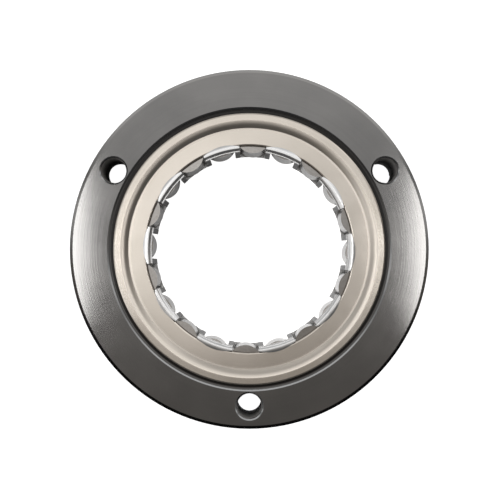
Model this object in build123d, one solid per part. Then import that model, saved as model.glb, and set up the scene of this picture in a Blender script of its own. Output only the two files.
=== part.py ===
from build123d import *
import os
from math import asin, atan2, cos, degrees, radians, sin, sqrt

os.makedirs("parts", exist_ok=True)

# Sprag clutch with two cages, millimetres.
# The clutch axis is Z. The back face of the ring lies on z = 0 and the flanged side is up.

# Outer ring, which is also the outer race: from the bore outwards come the ledge of the
# counterbore, a thin wall, the fixing holes and the wall at the rim
race_diameter = 67.4
race_lead_in = 0.8
ledge_width = 3.05
counterbore_depth = 1.8
counterbore_chamfer = 0.4
hole_wall = 0.85
rim_wall = 2.6
rim_chamfer = 0.9
ring_thickness = 18.0

# Tapped fixing holes, drawn at the drill size of an M8 thread
hole_count = 3
hole_diameter = 6.8
hole_countersink = 0.35
first_hole_angle = 30.0

# Flats that stand for each rounded corner of a turned piece
corner_flats = 3

# Shaft side: the race that turns inside the sprags
inner_race_diameter = 50.8

# Sprags
sprag_count = 20
first_nose_angle = 16.0
sprag_length = 11.5
outer_cam_radius = 4.5
inner_cam_radius = 4.6
cam_offset = 0.9
nose_reach = 0.1
race_clearance = 0.08
outer_cam_half_angle = 47.0
inner_cam_half_angle = 58.0
waist_width = 4.9
sprag_corner_flat = 0.3

# Outer cage, a stamping with a hemmed flange
cage_sheet = 0.8
cage_race_clearance = 0.09
flange_overhang = 1.8
face_recess = 1.0
step_width = 2.0
lip_gap = 1.05
lip_recess = 0.2
lip_round = 0.5
ledge_clearance = 0.05
rear_bend_radius = 1.2
outer_window_play = 0.5

# Ribbon spring
ribbon_sheet = 0.25
ribbon_rail = 0.7
ribbon_side_gap = 0.2
sprag_end_play = 0.1
waist_play = 0.58
tongue_length = 0.6
tongue_width = 4.0

# Inner cage, one strip that runs up, over and down between the sprags
inner_sheet = 0.6
inner_cage_clearance = 0.1
inner_bend_radius = 0.95
inner_window_play = 0.85
fold_overlap = 0.55
fold_edge_radius = 9.9
fold_clearance = 0.1

# Radii and heights that follow from the sizes above
race_radius = race_diameter / 2
counterbore_radius = race_radius + ledge_width
hole_radius = hole_diameter / 2
hole_circle_radius = counterbore_radius + hole_wall + hole_radius
ring_radius = hole_circle_radius + hole_radius + rim_wall
inner_race_radius = inner_race_diameter / 2
pitch = 360.0 / sprag_count

ledge_z = ring_thickness - counterbore_depth
flat_top_z = ring_thickness - face_recess
flat_bottom_z = flat_top_z - cage_sheet
lip_top_z = ring_thickness - lip_recess
lip_bottom_z = ledge_z + ledge_clearance
ribbon_top_z = flat_bottom_z - ribbon_side_gap
sprag_top_z = ribbon_top_z - ribbon_rail - sprag_end_play
sprag_bottom_z = sprag_top_z - sprag_length
ribbon_bottom_z = sprag_bottom_z - sprag_end_play - ribbon_rail
rear_flange_top_z = ribbon_bottom_z - ribbon_side_gap
rear_flange_bottom_z = rear_flange_top_z - cage_sheet
window_top_z = sprag_top_z + sprag_end_play
window_bottom_z = sprag_bottom_z - sprag_end_play

wall_outer_radius = race_radius - cage_race_clearance
wall_inner_radius = wall_outer_radius - cage_sheet
flange_bore_radius = inner_race_radius + flange_overhang
lip_radius = counterbore_radius - lip_gap

ribbon_radius = (race_radius + inner_race_radius) / 2
inner_cage_bore_radius = inner_race_radius + inner_cage_clearance
inner_cage_outer_radius = inner_cage_bore_radius + inner_sheet
fold_radius = flange_bore_radius + fold_overlap
fold_top_z = flat_top_z + fold_clearance + inner_sheet
fold_bottom_z = rear_flange_bottom_z - fold_clearance - inner_sheet

# Sprag outline, drawn beside the X axis with the outer cam centre on that axis
outer_cam_x = race_radius - race_clearance - outer_cam_radius
nose_radius = inner_race_radius - nose_reach
inner_cam_orbit = nose_radius + inner_cam_radius
inner_cam_x = sqrt(inner_cam_orbit**2 - cam_offset**2)
strut_angle = degrees(atan2(cam_offset, inner_cam_x))
half_cam_at_wall = sqrt(outer_cam_radius**2 - (wall_inner_radius - outer_cam_x) ** 2)
half_nose_at_bars = sqrt(inner_cam_radius**2 - (inner_cam_orbit - inner_cage_outer_radius) ** 2)


def on_circle(centre, radius, angle):
    """Point of a circle, with its angle in degrees."""
    return Vector(
        centre[0] + radius * cos(radians(angle)), centre[1] + radius * sin(radians(angle))
    )


def sprag_corners():
    """Ends of the outer cam arc and of the inner cam arc, right-hand side first."""
    outer_centre = (outer_cam_x, 0)
    inner_centre = (inner_cam_x, -cam_offset)
    inward = 180 - strut_angle
    outer_low = on_circle(outer_centre, outer_cam_radius, -outer_cam_half_angle)
    outer_high = on_circle(outer_centre, outer_cam_radius, outer_cam_half_angle)
    inner_low = on_circle(inner_centre, inner_cam_radius, inward + inner_cam_half_angle)
    inner_high = on_circle(inner_centre, inner_cam_radius, inward - inner_cam_half_angle)
    return outer_low, outer_high, inner_low, inner_high


def waist_points():
    """Bottom of the hollow in each flank, a waist width apart."""
    outer_low, outer_high, inner_low, inner_high = sprag_corners()
    low = (outer_low + inner_low) / 2
    high = (outer_high + inner_high) / 2
    hollow = (high - low).length - waist_width
    across = (high - low).normalized()
    return low + across * (hollow / 2), high - across * (hollow / 2)


waist_low, waist_high = waist_points()
waist_middle = (waist_low + waist_high) / 2
waist_angle = degrees(atan2(waist_middle.Y, waist_middle.X))


def nose_angle(index):
    return first_nose_angle + index * pitch


def cam_angle(index):
    """Direction of a sprag's outer cam centre, which is also its tilting axis."""
    return nose_angle(index) + strut_angle


def turned(points):
    """Solid of revolution about the clutch axis from points of radius and height."""
    return revolve(Plane.XZ * make_face(Polyline(*points, close=True)), Axis.Z)


def rounded(centre, radius, start, turn):
    """Corner of a turned outline: an arc in flats so short that they look round."""
    return [
        tuple(on_circle(centre, radius, start + turn * step / corner_flats))[:2]
        for step in range(corner_flats + 1)
    ]


def window_angle(half_width, radius):
    """Angle of a window that is twice the half width across at that radius."""
    return 2 * degrees(asin(half_width / radius))


def sector(angle, spread, inner, outer, bottom, top):
    """Block between two radii and two heights that spreads to both sides of an angle."""
    section = Polyline((inner, bottom), (outer, bottom), (outer, top), (inner, top), close=True)
    block = revolve(Plane.XZ * make_face(section), Axis.Z, spread)
    return Rot(0, 0, angle - spread / 2) * block


def polar_disc(angle, distance, radius, bottom, top):
    """Upright cylinder whose centre lies at a distance from the clutch axis."""
    disc = Cylinder(radius, top - bottom, align=(Align.CENTER, Align.CENTER, Align.MIN))
    return Rot(0, 0, angle) * Pos(distance, 0, bottom) * disc


def make_outer_ring():
    ring = turned(
        [
            (race_radius + race_lead_in, 0),
            (ring_radius - rim_chamfer, 0),
            (ring_radius, rim_chamfer),
            (ring_radius, ring_thickness - rim_chamfer),
            (ring_radius - rim_chamfer, ring_thickness),
            (counterbore_radius + counterbore_chamfer, ring_thickness),
            (counterbore_radius, ring_thickness - counterbore_chamfer),
            (counterbore_radius, ledge_z),
            (race_radius, ledge_z),
            (race_radius, race_lead_in),
        ]
    )
    for index in range(hole_count):
        ring -= fixing_hole(first_hole_angle + index * 360 / hole_count)
    return ring


def fixing_hole(angle):
    """Through hole with a countersink at each face."""
    place = Rot(0, 0, angle) * Pos(hole_circle_radius, 0, 0)
    mouth_radius = hole_radius + hole_countersink
    drill = Cylinder(hole_radius, ring_thickness, align=(Align.CENTER, Align.CENTER, Align.MIN))
    lower = Cone(
        mouth_radius, hole_radius, hole_countersink, align=(Align.CENTER, Align.CENTER, Align.MIN)
    )
    upper = Pos(0, 0, ring_thickness) * Cone(
        hole_radius, mouth_radius, hole_countersink, align=(Align.CENTER, Align.CENTER, Align.MAX)
    )
    return place * (drill + lower + upper)


def outer_cage_outline():
    """Section of the cage: flat front ring, step, hemmed lip, wall and rear flange."""
    step_rise = lip_top_z - flat_top_z
    step_curve = (step_width**2 + step_rise**2) / (2 * step_rise)
    step_turn = degrees(atan2(step_width, step_curve - step_rise))
    rear_centre = (wall_outer_radius - rear_bend_radius, rear_flange_bottom_z + rear_bend_radius)
    return [
        (wall_inner_radius, flat_bottom_z),
        (flange_bore_radius, flat_bottom_z),
        (flange_bore_radius, flat_top_z),
        *rounded((race_radius, lip_top_z - step_curve), step_curve, 90 + step_turn, -step_turn),
        *rounded((lip_radius - lip_round, lip_top_z - lip_round), lip_round, 90, -90),
        (lip_radius, lip_bottom_z),
        (wall_outer_radius, lip_bottom_z),
        *rounded(rear_centre, rear_bend_radius, 0, -90),
        (flange_bore_radius, rear_flange_bottom_z),
        (flange_bore_radius, rear_flange_top_z),
        (wall_inner_radius, rear_flange_top_z),
    ]


def make_outer_cage():
    cage = turned(outer_cage_outline())
    spread = window_angle(half_cam_at_wall + outer_window_play, wall_inner_radius)
    inner, outer = wall_inner_radius - cage_sheet, wall_outer_radius + cage_sheet
    for index in range(sprag_count):
        cage -= sector(cam_angle(index), spread, inner, outer, window_bottom_z, window_top_z)
    return cage


def inner_cage_outline():
    """Section of the strip: a wall that bends outwards at the front and at the rear."""
    bend_x = inner_cage_bore_radius + inner_bend_radius
    front = (bend_x, fold_top_z - inner_bend_radius)
    rear = (bend_x, fold_bottom_z + inner_bend_radius)
    inside_bend = inner_bend_radius - inner_sheet
    return [
        *rounded(rear, inner_bend_radius, 270, -90),
        *rounded(front, inner_bend_radius, 180, -90),
        *rounded(front, inside_bend, 90, 90),
        *rounded(rear, inside_bend, 180, 90),
    ]


def fold_plate(angle, spread, bottom):
    """Flat end of a fold, with a bulging edge, that laps over a flange of the outer cage."""
    top = bottom + inner_sheet
    bend_x = inner_cage_bore_radius + inner_bend_radius
    plate = sector(angle, spread, bend_x, fold_radius, bottom, top)
    distance = fold_radius - fold_edge_radius
    return plate & polar_disc(angle, distance, fold_edge_radius, bottom, top)


def make_inner_cage():
    """Ten folds over the front flange and ten over the rear one, joined by twenty bars."""
    cage = turned(inner_cage_outline())
    window = window_angle(half_nose_at_bars + inner_window_play, inner_cage_outer_radius)
    fold = 2 * pitch - window
    inner, outer = inner_cage_bore_radius - inner_sheet, fold_radius + inner_sheet
    for index in range(sprag_count):
        folded_at_front = index % 2 == 1
        low = 0 if folded_at_front else fold_bottom_z + inner_sheet
        high = fold_top_z - inner_sheet if folded_at_front else ring_thickness
        cage -= sector(nose_angle(index), window, inner, outer, low, high)
    for index in range(sprag_count):
        folded_at_front = index % 2 == 1
        bottom = fold_top_z - inner_sheet if folded_at_front else fold_bottom_z
        cage += fold_plate(nose_angle(index), fold, bottom)
    return cage


def make_ribbon_spring():
    """Thin band whose windows hold the sprags at the waist, with a tongue in each window."""
    inner = ribbon_radius - ribbon_sheet / 2
    outer = ribbon_radius + ribbon_sheet / 2
    ribbon = turned(
        [
            (inner, ribbon_bottom_z),
            (outer, ribbon_bottom_z),
            (outer, ribbon_top_z),
            (inner, ribbon_top_z),
        ]
    )
    opening = waist_width + 2 * waist_play
    spread = window_angle(opening / 2, ribbon_radius)
    middle_z = (sprag_top_z + sprag_bottom_z) / 2
    low, high = inner - ribbon_sheet, outer + ribbon_sheet
    for index in range(sprag_count):
        angle = cam_angle(index) + waist_angle
        ribbon -= sector(angle, spread, low, high, window_bottom_z, window_top_z)
    edge_x = sqrt(inner**2 - (opening / 2) ** 2)
    tongue = Pos(edge_x, opening / 2, middle_z) * Box(
        tongue_length + ribbon_sheet,
        ribbon_sheet,
        tongue_width,
        align=(Align.MIN, Align.MIN, Align.CENTER),
    )
    for index in range(sprag_count):
        ribbon += Rot(0, 0, cam_angle(index) + waist_angle) * tongue
    return ribbon


def make_sprag():
    """Sprag beside the X axis: two offset cams joined by a hollow-sided waist."""
    outer_low, outer_high, inner_low, inner_high = sprag_corners()
    nose = on_circle((inner_cam_x, -cam_offset), inner_cam_radius, 180 - strut_angle)
    outline = [
        ThreePointArc(outer_low, (outer_cam_x + outer_cam_radius, 0), outer_high),
        ThreePointArc(outer_high, waist_high, inner_high),
        ThreePointArc(inner_high, nose, inner_low),
        ThreePointArc(inner_low, waist_low, outer_low),
    ]
    face = make_face(outline)
    face = chamfer(face.vertices(), sprag_corner_flat)
    return Pos(0, 0, sprag_bottom_z) * extrude(face, sprag_length)


export_step(make_outer_ring(), "parts/outer_ring.step")
export_step(make_outer_cage(), "parts/outer_cage.step")
export_step(make_ribbon_spring(), "parts/ribbon_spring.step")
export_step(make_inner_cage(), "parts/inner_cage.step")

sprag = make_sprag()
for index in range(sprag_count):
    placed = Rot(0, 0, cam_angle(index)) * sprag
    export_step(placed, f"parts/sprag_{index + 1:02d}.step")
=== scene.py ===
from math import cos, pi, radians, sin

import bpy
from mathutils import Matrix, Vector


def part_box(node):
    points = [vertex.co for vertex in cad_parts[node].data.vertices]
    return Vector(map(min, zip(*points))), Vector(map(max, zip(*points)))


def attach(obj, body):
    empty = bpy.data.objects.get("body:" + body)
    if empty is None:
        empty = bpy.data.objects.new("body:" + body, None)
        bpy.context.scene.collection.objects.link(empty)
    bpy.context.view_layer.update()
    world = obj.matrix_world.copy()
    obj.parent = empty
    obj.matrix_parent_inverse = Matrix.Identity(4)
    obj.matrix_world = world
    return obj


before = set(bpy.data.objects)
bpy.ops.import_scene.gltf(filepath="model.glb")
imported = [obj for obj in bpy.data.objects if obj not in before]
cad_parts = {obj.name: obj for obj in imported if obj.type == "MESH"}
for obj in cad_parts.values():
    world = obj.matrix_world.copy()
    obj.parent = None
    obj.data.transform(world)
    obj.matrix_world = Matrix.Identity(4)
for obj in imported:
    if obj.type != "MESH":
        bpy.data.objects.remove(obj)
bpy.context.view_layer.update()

# Metres. The clutch lies on its back face with its flanged face up; +Y is up in the picture.
MM = 0.001
FACE_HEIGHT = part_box("outer_ring")[1].z
COUNTERBORE_RADIUS = 36.77 * MM
COUNTERBORE_EDGE_RADIUS = 37.14 * MM
HOLE_ANGLES = (30, 150, 270)
HOLE_CIRCLE = 41.0 * MM
COUNTERSINK_RADIUS = 3.77 * MM
FOLD_CREST = 26.80 * MM
FLAT_RING_EDGE = 27.55 * MM
STEP_MIDDLE = 32.5 * MM
PANEL_HEIGHT = 0.49
WHITE = (1.0, 1.0, 1.0, 1.0)


class Wire:
    """A shader socket that can be used in Python sums; each operation adds a Math node."""

    def __init__(self, finish, socket):
        self.finish = finish
        self.socket = socket

    def math(self, operation, *values):
        return self.finish.add("ShaderNodeMath", {"operation": operation}, *values)

    def __add__(self, other):
        return self.math("ADD", self, other)

    def __sub__(self, other):
        return self.math("SUBTRACT", self, other)

    def __rsub__(self, other):
        return self.math("SUBTRACT", other, self)

    def __mul__(self, other):
        return self.math("MULTIPLY", self, other)

    def __truediv__(self, other):
        return self.math("DIVIDE", self, other)

    def __pow__(self, other):
        return self.math("POWER", self, other)

    def __abs__(self):
        return self.math("ABSOLUTE", self)

    def over(self, limit):
        """1 where the value is over the limit, else 0."""
        return self.math("GREATER_THAN", self, limit)

    def beyond(self, limit):
        """How far the value is over the limit, 0 below it."""
        return self.math("MAXIMUM", self - limit, 0.0)

    def clamp(self):
        return self.finish.add("ShaderNodeClamp", {}, self, 0.0, 1.0)


class Finish:
    """A node tree under construction, of a material or of the world."""

    def __init__(self, tree):
        self.tree = tree
        self.tree.nodes.clear()

    def add(self, kind, settings=None, *values, out=0, **named):
        """Adds a node: its settings first, then its sockets in order or by name."""
        node = self.tree.nodes.new(kind)
        for key, value in (settings or {}).items():
            if key == "stops":
                self.set_stops(node.color_ramp, value)
            else:
                setattr(node, key, value)
        for position, value in enumerate(values):
            self.feed(node.inputs[position], value)
        for name, value in named.items():
            self.feed(node.inputs[name.replace("_", " ")], value)
        return Wire(self, node.outputs[out]) if len(node.outputs) else node

    @staticmethod
    def set_stops(ramp, stops):
        while len(ramp.elements) < len(stops):
            ramp.elements.new(1.0)
        for element, (place, colour) in zip(ramp.elements, stops):
            element.position = place
            element.color = (*colour, 1.0)

    def feed(self, socket, value):
        if isinstance(value, Wire):
            self.tree.links.new(value.socket, socket)
        else:
            socket.default_value = value

    def mix(self, share, first, second):
        """Colour between two colours."""
        node = self.tree.nodes.new("ShaderNodeMix")
        node.data_type = "RGBA"
        self.feed(node.inputs["Factor"], share)
        for name, value in (("A", first), ("B", second)):
            socket = next(s for s in node.inputs if s.name == name and s.type == "RGBA")
            self.feed(socket, value)
        return Wire(self, next(s for s in node.outputs if s.type == "RGBA"))

    def place(self):
        """Place on the piece in metres: the wires x, y and z, and the whole vector."""
        vector = self.add("ShaderNodeTexCoord", out="Object")
        parts = [self.add("ShaderNodeSeparateXYZ", {}, vector, out=axis) for axis in "XYZ"]
        return (*parts, vector)

    def noise(self, vector, scale, detail=2.0, rough=0.5):
        return self.add(
            "ShaderNodeTexNoise", {}, Vector=vector, Scale=scale, Detail=detail, Roughness=rough
        )


def new_finish(name):
    material = bpy.data.materials.new(name)
    material.use_nodes = True
    return material, Finish(material.node_tree)


def close_finish(finish, **sockets):
    """Principled shader as the surface."""
    shader = finish.add("ShaderNodeBsdfPrincipled", {}, **sockets)
    finish.add("ShaderNodeOutputMaterial", {}, Surface=shader)


def grey(level, warm=0.0):
    """Near-grey colour; warm shifts it from blue towards red."""
    return (level * (1 + warm), level, level * (1 - warm), 1.0)


def circular_marks(finish, across, z, step):
    """Uneven marks that run round the axis, as a tool leaves them; 0 to 1."""
    lathe = finish.add("ShaderNodeCombineXYZ", {}, across / step, z / step, 0.0)
    return finish.noise(lathe, 1.0, detail=3.0, rough=0.6)


def turned_steel():
    """Dark hardened steel, faced on a lathe: bare cut edges lightened as a painted highlight,
    painted shade in the counterbore's gap.
    """
    material, finish = new_finish("turned_dark_steel")
    x, y, z, vector = finish.place()
    across = (x * x + y * y) ** 0.5
    marks = circular_marks(finish, across, z, 0.35 * MM)
    clouds = finish.noise(vector, 90.0, detail=3.0)
    tone = (marks * 0.3 + clouds * 0.7 - 0.5) * 1.6 + 0.5
    face = finish.mix(tone.clamp(), grey(0.18, 0.02), grey(0.24, 0.03))
    # The counterbore's chamfer and the countersinks are lighter: bare cut steel, and partly a
    # painted highlight.
    bare_edge_highlight = across.over(COUNTERBORE_RADIUS) - across.over(COUNTERBORE_EDGE_RADIUS)
    bare_edge_highlight = bare_edge_highlight * z.over(FACE_HEIGHT - 0.5 * MM)
    for angle in HOLE_ANGLES:
        beside = x - HOLE_CIRCLE * cos(radians(angle))
        above = y - HOLE_CIRCLE * sin(radians(angle))
        from_axis = (beside * beside + above * above) ** 0.5
        bare_edge_highlight = bare_edge_highlight + (from_axis * -1).over(-COUNTERSINK_RADIUS)
    face = finish.mix(bare_edge_highlight.clamp(), face, grey(0.27))
    # Painted shade darkens the counterbore's ledge and corner, in the gap under the cage's
    # flange, a little wider towards +Y.
    gap_shade_edge = y * 0.005 + 36.62 * MM
    fade = 0.2 * MM
    gap_shade = ((gap_shade_edge - across) / fade).clamp() * z.over(FACE_HEIGHT - 2.7 * MM)
    colour = finish.mix(gap_shade, face, grey(0.03, 0.05))
    mark_height = 0.0024 * MM
    bump = finish.add(
        "ShaderNodeBump", {}, Strength=1.0, Distance=1.0, Height=marks * mark_height
    )
    close_finish(
        finish,
        Base_Color=colour,
        Metallic=1.0,
        Roughness=clouds * 0.05 + 0.085,
        Specular_Tint=(0.5, 0.5, 0.5, 1.0),
        Normal=bump,
    )
    return material


def cut_thread():
    """Bare steel of the tapped threads, with painted shade that darkens it in the depth of the
    hole.
    """
    material, finish = new_finish("cut_thread_steel")
    x, y, z, vector = finish.place()
    tears = finish.noise(vector, 2200.0, detail=3.0)
    bare = finish.mix(tears, grey(0.34, 0.03), grey(0.56, 0.03))
    # Painted shade: the colour fades to near black deeper in the hole.
    shade_below, fade = FACE_HEIGHT - 11.0 * MM, 8.0 * MM
    near_mouth = ((z - shade_below) / fade).clamp()
    close_finish(
        finish,
        Base_Color=finish.mix(near_mouth, grey(0.02, 0.05), bare),
        Metallic=0.35,
        Roughness=tears * 0.15 + 0.42,
        Specular_Tint=(0.5, 0.5, 0.5, 1.0),
    )
    return material


def satin_nickel():
    """Stamped and plated strip of the outer cage: pale and warm, duller on the S-bend."""
    material, finish = new_finish("satin_nickel_cage")
    x, y, z, vector = finish.place()
    across = (x * x + y * y) ** 0.5
    marks = circular_marks(finish, across, z, 0.25 * MM)
    clouds = finish.noise(vector, 140.0, detail=3.0)
    colour = finish.mix(clouds, (0.68, 0.62, 0.545, 1.0), (0.77, 0.705, 0.63, 1.0))
    half_width, fade = 1.5 * MM, 0.5 * MM
    step_bend = ((half_width - abs(across - STEP_MIDDLE)) / fade).clamp()
    # The flat ring's inner edge curls down; curls are metres per square metre.
    edge_curl = -1000.0
    from_edge = (across * -1).beyond(-FLAT_RING_EDGE)
    rolled_edge = from_edge * from_edge * z.over(FACE_HEIGHT - 1.1 * MM) * edge_curl
    mark_height = 0.0016 * MM
    bump = finish.add(
        "ShaderNodeBump",
        {},
        Strength=1.0,
        Distance=1.0,
        Height=rolled_edge + marks * mark_height,
    )
    close_finish(
        finish,
        Base_Color=colour,
        Metallic=1.0,
        Roughness=clouds * 0.06 + step_bend * 0.17 + 0.115,
        Specular_Tint=(0.55, 0.51, 0.47, 1.0),
        Normal=bump,
    )
    return material


def bright_strip():
    """Tumbled bright steel of the inner cage; its folds are a little crowned."""
    material, finish = new_finish("bright_inner_strip")
    x, y, z, vector = finish.place()
    clouds = finish.noise(vector, 400.0, detail=3.0)
    colour = finish.mix(clouds, grey(0.80), grey(0.94, 0.01))
    across = (x * x + y * y) ** 0.5
    # The fold falls away from its crest on both sides; curls are metres per square metre.
    outer_curl, inner_curl = -170.0, -120.0
    outward = across.beyond(FOLD_CREST)
    inward = (across * -1).beyond(-FOLD_CREST)
    on_fold = z.over(FACE_HEIGHT - 1.0 * MM)
    crown = (outward * outward * outer_curl + inward * inward * inner_curl) * on_fold
    dent_height = 0.0045 * MM
    bump = finish.add(
        "ShaderNodeBump", {}, Strength=1.0, Distance=1.0, Height=crown + clouds * dent_height
    )
    close_finish(
        finish,
        Base_Color=colour,
        Metallic=1.0,
        Roughness=clouds * 0.12 + 0.17,
        # The dark specular tint dims the walls' grazing reflections: painted shade.
        Specular_Tint=(0.12, 0.12, 0.12, 1.0),
        Normal=bump,
    )
    return material


def sprag_steel():
    """Hardened sprag: dull cut ends, polished cams drawn along their length."""
    material, finish = new_finish("sprag_steel")
    x, y, z, vector = finish.place()
    facing = finish.add("ShaderNodeNewGeometry", out="Normal")
    up = finish.add("ShaderNodeSeparateXYZ", {}, facing, out="Z")
    end = abs(up).over(0.7)
    grain = finish.noise(vector, 1500.0, detail=4.0, rough=0.7)
    dull = finish.mix(grain, grey(0.28, 0.07), grey(0.47, 0.05))
    colour = finish.mix(end, grey(0.76, 0.01), dull)
    bump = finish.add(
        "ShaderNodeBump", {}, Strength=0.1, Distance=0.03 * MM, Height=grain * end
    )
    close_finish(
        finish,
        Base_Color=colour,
        Metallic=1.0,
        Roughness=0.22 - end * 0.12 + grain * 0.04,
        # The grey specular tint dims the cams' grazing reflections: painted shade.
        Specular_Tint=(0.55, 0.55, 0.55, 1.0),
        Normal=bump,
    )
    return material


def spring_steel():
    """Thin tempered strip of the ribbon spring."""
    material, finish = new_finish("tempered_ribbon")
    x, y, z, vector = finish.place()
    heat = finish.noise(vector, 120.0, detail=2.0)
    colour = finish.mix(heat, grey(0.09, 0.04), grey(0.16, 0.12))
    close_finish(finish, Base_Color=colour, Metallic=1.0, Roughness=heat * 0.1 + 0.25)
    return material


def shading_group(name, angle):
    """Geometry nodes that shade curves smoothly, and keep sharp edges and level faces crisp."""
    group = bpy.data.node_groups.new(name, "GeometryNodeTree")
    group.interface.new_socket("Geometry", in_out="INPUT", socket_type="NodeSocketGeometry")
    group.interface.new_socket("Geometry", in_out="OUTPUT", socket_type="NodeSocketGeometry")

    def node(kind, settings=None, *values, **sockets):
        made = group.nodes.new(kind)
        for key, value in (settings or {}).items():
            setattr(made, key, value)
        places = [(made.inputs[number], value) for number, value in enumerate(values)]
        places += [(made.inputs[key.replace("_", " ")], value) for key, value in sockets.items()]
        for socket, value in places:
            if hasattr(value, "is_linked"):
                group.links.new(value, socket)
            else:
                socket.default_value = value
        return made.outputs

    source = node("NodeGroupInput")
    weld = node(
        "GeometryNodeMergeByDistance", Geometry=source["Geometry"], Distance=0.001 * MM
    )
    smooth = node(
        "GeometryNodeSetShadeSmooth", {"domain": "FACE"}, Geometry=weld["Geometry"]
    )
    bend = node("GeometryNodeInputMeshEdgeAngle")
    sharper = node(
        "FunctionNodeCompare",
        {"data_type": "FLOAT", "operation": "GREATER_THAN"},
        A=bend["Unsigned Angle"],
        B=radians(angle),
    )
    facing = node("GeometryNodeInputNormal")
    height = node("ShaderNodeSeparateXYZ", Vector=facing["True Normal"])
    steep = node("ShaderNodeMath", {"operation": "ABSOLUTE"}, height["Z"])
    level_limit = 0.9999
    level = node("ShaderNodeMath", {"operation": "GREATER_THAN"}, steep["Value"], level_limit)
    level_face = node(
        "GeometryNodeFieldOnDomain",
        {"domain": "FACE", "data_type": "FLOAT"},
        Value=level["Value"],
    )
    # On an edge the two faces are averaged, so one half marks the border of a level face.
    border = node(
        "FunctionNodeCompare",
        {"data_type": "FLOAT", "operation": "EQUAL"},
        A=level_face["Value"],
        B=0.5,
        Epsilon=0.2,
    )
    either = node(
        "FunctionNodeBooleanMath", {"operation": "OR"}, sharper["Result"], border["Result"]
    )
    crisp = node(
        "GeometryNodeSetShadeSmooth",
        {"domain": "EDGE"},
        Geometry=smooth["Geometry"],
        Selection=either[0],
        Shade_Smooth=False,
    )
    node("NodeGroupOutput", Geometry=crisp["Geometry"])
    return group


def rounded_shading(piece, group):
    """Joins a CAD mesh's faces for shading with the shared group."""
    piece.modifiers.new("shading", "NODES").node_group = group
    weighted = piece.modifiers.new("face_weight", "WEIGHTED_NORMAL")
    weighted.keep_sharp = True
    weighted.weight = 90


def mesh_piece(name, points, faces, material, body):
    """Adds a visual piece that rides on a CAD body."""
    mesh = bpy.data.meshes.new(name)
    mesh.from_pydata(points, [], faces)
    mesh.materials.append(material)
    mesh.shade_smooth()
    piece = bpy.data.objects.new(name, mesh)
    bpy.context.scene.collection.objects.link(piece)
    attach(piece, body)


def tapped_thread(name, angle, material):
    """M8 thread in a fixing hole: a helical ridge that stands on the drilled wall."""
    thread_pitch = 1.25 * MM
    root, crest = 3.39 * MM, 3.18 * MM
    start, end = 0.4 * MM, FACE_HEIGHT - 0.4 * MM
    steps_per_turn = 24
    centre_x = HOLE_CIRCLE * cos(radians(angle))
    centre_y = HOLE_CIRCLE * sin(radians(angle))
    profile = (
        (0.0, root), (0.28, root), (0.45, crest), (0.55, crest), (0.72, root), (1.0, root)
    )
    steps = int((end - start) / thread_pitch * steps_per_turn)
    points, faces = [], []
    for step in range(steps - steps_per_turn + 1):
        turn = 2 * pi * step / steps_per_turn
        height = start + step * thread_pitch / steps_per_turn
        for rise, radius in profile:
            points.append((
                centre_x + radius * cos(turn),
                centre_y + radius * sin(turn),
                height + rise * thread_pitch,
            ))
    row = len(profile)
    for step in range(steps - steps_per_turn):
        for side in range(row - 1):
            first = step * row + side
            faces.append((first, first + 1, first + row + 1, first + row))
    mesh_piece(name, points, faces, material, "outer_ring")


def dress_nodes():
    """Gives each CAD node its finish and its shading."""
    ring_steel = turned_steel()
    thread_steel = cut_thread()
    for number, angle in enumerate(HOLE_ANGLES, 1):
        tapped_thread(f"tapped_thread_{number}", angle, thread_steel)
    finishes = {
        "outer_ring": ring_steel,
        "outer_cage": satin_nickel(),
        "inner_cage": bright_strip(),
        "ribbon_spring": spring_steel(),
    }
    sprags = sprag_steel()
    curves = shading_group("smooth_curves", 35.0)
    for name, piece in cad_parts.items():
        piece.data.materials.clear()
        piece.data.materials.append(finishes.get(name, sprags))
        rounded_shading(piece, curves)


def make_floor():
    """Pale round floor that the camera and mirrors see as white; it's clear from below."""
    floor_radius = 0.10
    bpy.ops.mesh.primitive_circle_add(vertices=96, radius=floor_radius, fill_type="NGON")
    floor = bpy.context.object
    floor.name = "floor"
    floor.location.z = -0.05 * MM
    material, finish = new_finish("pale_floor")
    camera_ray = finish.add("ShaderNodeLightPath", out="Is Camera Ray")
    glossy_ray = finish.add("ShaderNodeLightPath", out="Is Glossy Ray")
    glass_ray = finish.add("ShaderNodeLightPath", out="Is Transmission Ray")
    x, y, z, vector = finish.place()
    # The clutch's shade deepens towards the upper left, and only mirrors see it.
    shade_width, shade_depth = 72.0 * MM, 0.92
    shaded_side = ((y - x) / shade_width + 0.5).clamp()
    lit = 1.0 - shaded_side * shade_depth
    seen = (camera_ray + (glossy_ray + glass_ray) * lit).clamp()
    paint = finish.add("ShaderNodeBsdfDiffuse", {}, Color=(0.8, 0.8, 0.8, 1.0))
    glow = finish.add("ShaderNodeEmission", {}, Color=WHITE, Strength=seen)
    top = finish.add("ShaderNodeAddShader", {}, paint, glow)
    underside = finish.add("ShaderNodeNewGeometry", out="Backfacing")
    clear = finish.add("ShaderNodeBsdfTransparent")
    both = finish.add("ShaderNodeMixShader", {}, underside, top, clear)
    finish.add("ShaderNodeOutputMaterial", {}, Surface=both)
    floor.data.materials.append(material)


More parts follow.
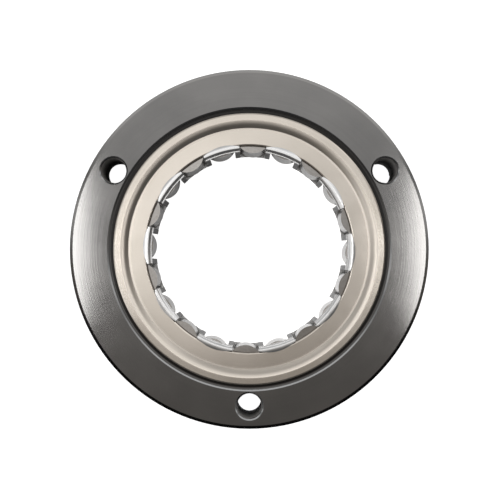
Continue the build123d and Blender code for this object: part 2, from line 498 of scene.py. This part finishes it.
def make_world():
    """Room light in bands, with a white surround for the camera."""
    world = bpy.data.worlds.new("room")
    bpy.context.scene.world = world
    world.use_nodes = True
    finish = Finish(world.node_tree)
    direction = finish.add("ShaderNodeTexCoord", out="Generated")
    x, y, z = [finish.add("ShaderNodeSeparateXYZ", {}, direction, out=axis) for axis in "XYZ"]
    # The room's bands run from the foot (-Y) to the far end (+Y). Between level and overhead
    # they swing to the left, as the fans of light on the turned face show.
    swing = 4.6
    height = z.clamp()
    ahead = y - x * height * height * (1 - height) * swing
    room = finish.add(
        "ShaderNodeValToRGB",
        {"stops": [
            (0.00, (0.08, 0.08, 0.08)),
            (0.30, (0.085, 0.083, 0.08)),
            (0.44, (0.285, 0.27, 0.255)),
            (0.47, (0.34, 0.325, 0.31)),
            (0.51, (0.46, 0.455, 0.45)),
            (0.535, (0.60, 0.60, 0.60)),
            (0.56, (0.84, 0.84, 0.84)),
            (0.585, (1.00, 1.00, 1.00)),
            (0.63, (1.15, 1.15, 1.15)),
            (0.70, (0.55, 0.55, 0.55)),
            (0.80, (0.45, 0.45, 0.45)),
            (0.93, (0.42, 0.42, 0.42)),
            (1.00, (0.60, 0.60, 0.60)),
        ]},
        ahead * 0.5 + 0.5,
    )
    # A window low at the far end, and a dark foot below the horizon.
    window = ((0.3 - z) / 0.2).clamp() * ((y - 0.45) / 0.25).clamp()
    room = finish.mix(window, room, (1.35, 1.35, 1.35, 1.0))
    foot = ((-0.03 - z) / 0.07).clamp() * ((y * -1 - 0.25) / 0.3).clamp()
    room = finish.mix(foot, room, (0.01, 0.01, 0.01, 1.0))
    # White to the camera, and to mirrors that face well down, past the floor's edge.
    facing_down = (z * -1).over(0.3)
    camera_ray = finish.add("ShaderNodeLightPath", out="Is Camera Ray")
    glossy_ray = finish.add("ShaderNodeLightPath", out="Is Glossy Ray")
    glass_ray = finish.add("ShaderNodeLightPath", out="Is Transmission Ray")
    seen = (camera_ray + (glossy_ray + glass_ray) * facing_down).clamp()
    colour = finish.mix(seen, room, WHITE)
    shade = finish.add("ShaderNodeBackground", {}, Color=colour, Strength=1.0)
    finish.add("ShaderNodeOutputWorld", {}, Surface=shade)


def panel(name, centre, width, depth, radiance, shape="RECTANGLE"):
    """Soft light panel that hangs level over the clutch and faces down."""
    lamp = bpy.data.lights.new(name, "AREA")
    lamp.shape = shape
    lamp.size, lamp.size_y = width, depth
    area = width * depth * (pi / 4 if shape == "ELLIPSE" else 1)
    lamp.energy = radiance * pi * area
    light = bpy.data.objects.new(name, lamp)
    light.location = (*centre, PANEL_HEIGHT)
    bpy.context.scene.collection.objects.link(light)


def make_lights():
    panel("left_strip", (-0.1325, 0.01), 0.036, 0.11, 5.6)
    panel("right_strip", (0.1325, 0.01), 0.036, 0.11, 5.6)
    panel("left_fill", (-0.026, 0.010), 0.132, 0.146, 0.46, "ELLIPSE")


def make_camera():
    """Nearly square on to the face, a little below the middle of the picture."""
    picture = 500
    focal_pixels = 1081.0
    pixel = 0.2629 * MM
    centre_x, centre_y = 249.3, 248.8
    foot_x, foot_y = 249.5, 268.0
    stand = 282.0 * MM
    camera = bpy.data.cameras.new("camera")
    camera.sensor_width = 36.0
    camera.lens = camera.sensor_width * focal_pixels / picture
    camera.clip_start = 0.01
    eye = bpy.data.objects.new("camera", camera)
    bpy.context.scene.collection.objects.link(eye)
    aim = Vector((
        (picture / 2 - centre_x) * pixel, (centre_y - picture / 2) * pixel, FACE_HEIGHT
    ))
    eye.location = Vector((
        (foot_x - centre_x) * pixel, (centre_y - foot_y) * pixel, FACE_HEIGHT + stand
    ))
    back = (eye.location - aim).normalized()
    right = Vector((0, 1, 0)).cross(back).normalized()
    turn = Matrix((right, back.cross(right), back)).transposed()
    eye.rotation_euler = turn.to_euler()
    bpy.context.scene.camera = eye


make_camera()
dress_nodes()
make_floor()
make_world()
make_lights()

bpy.context.scene.view_settings.view_transform = "Standard"
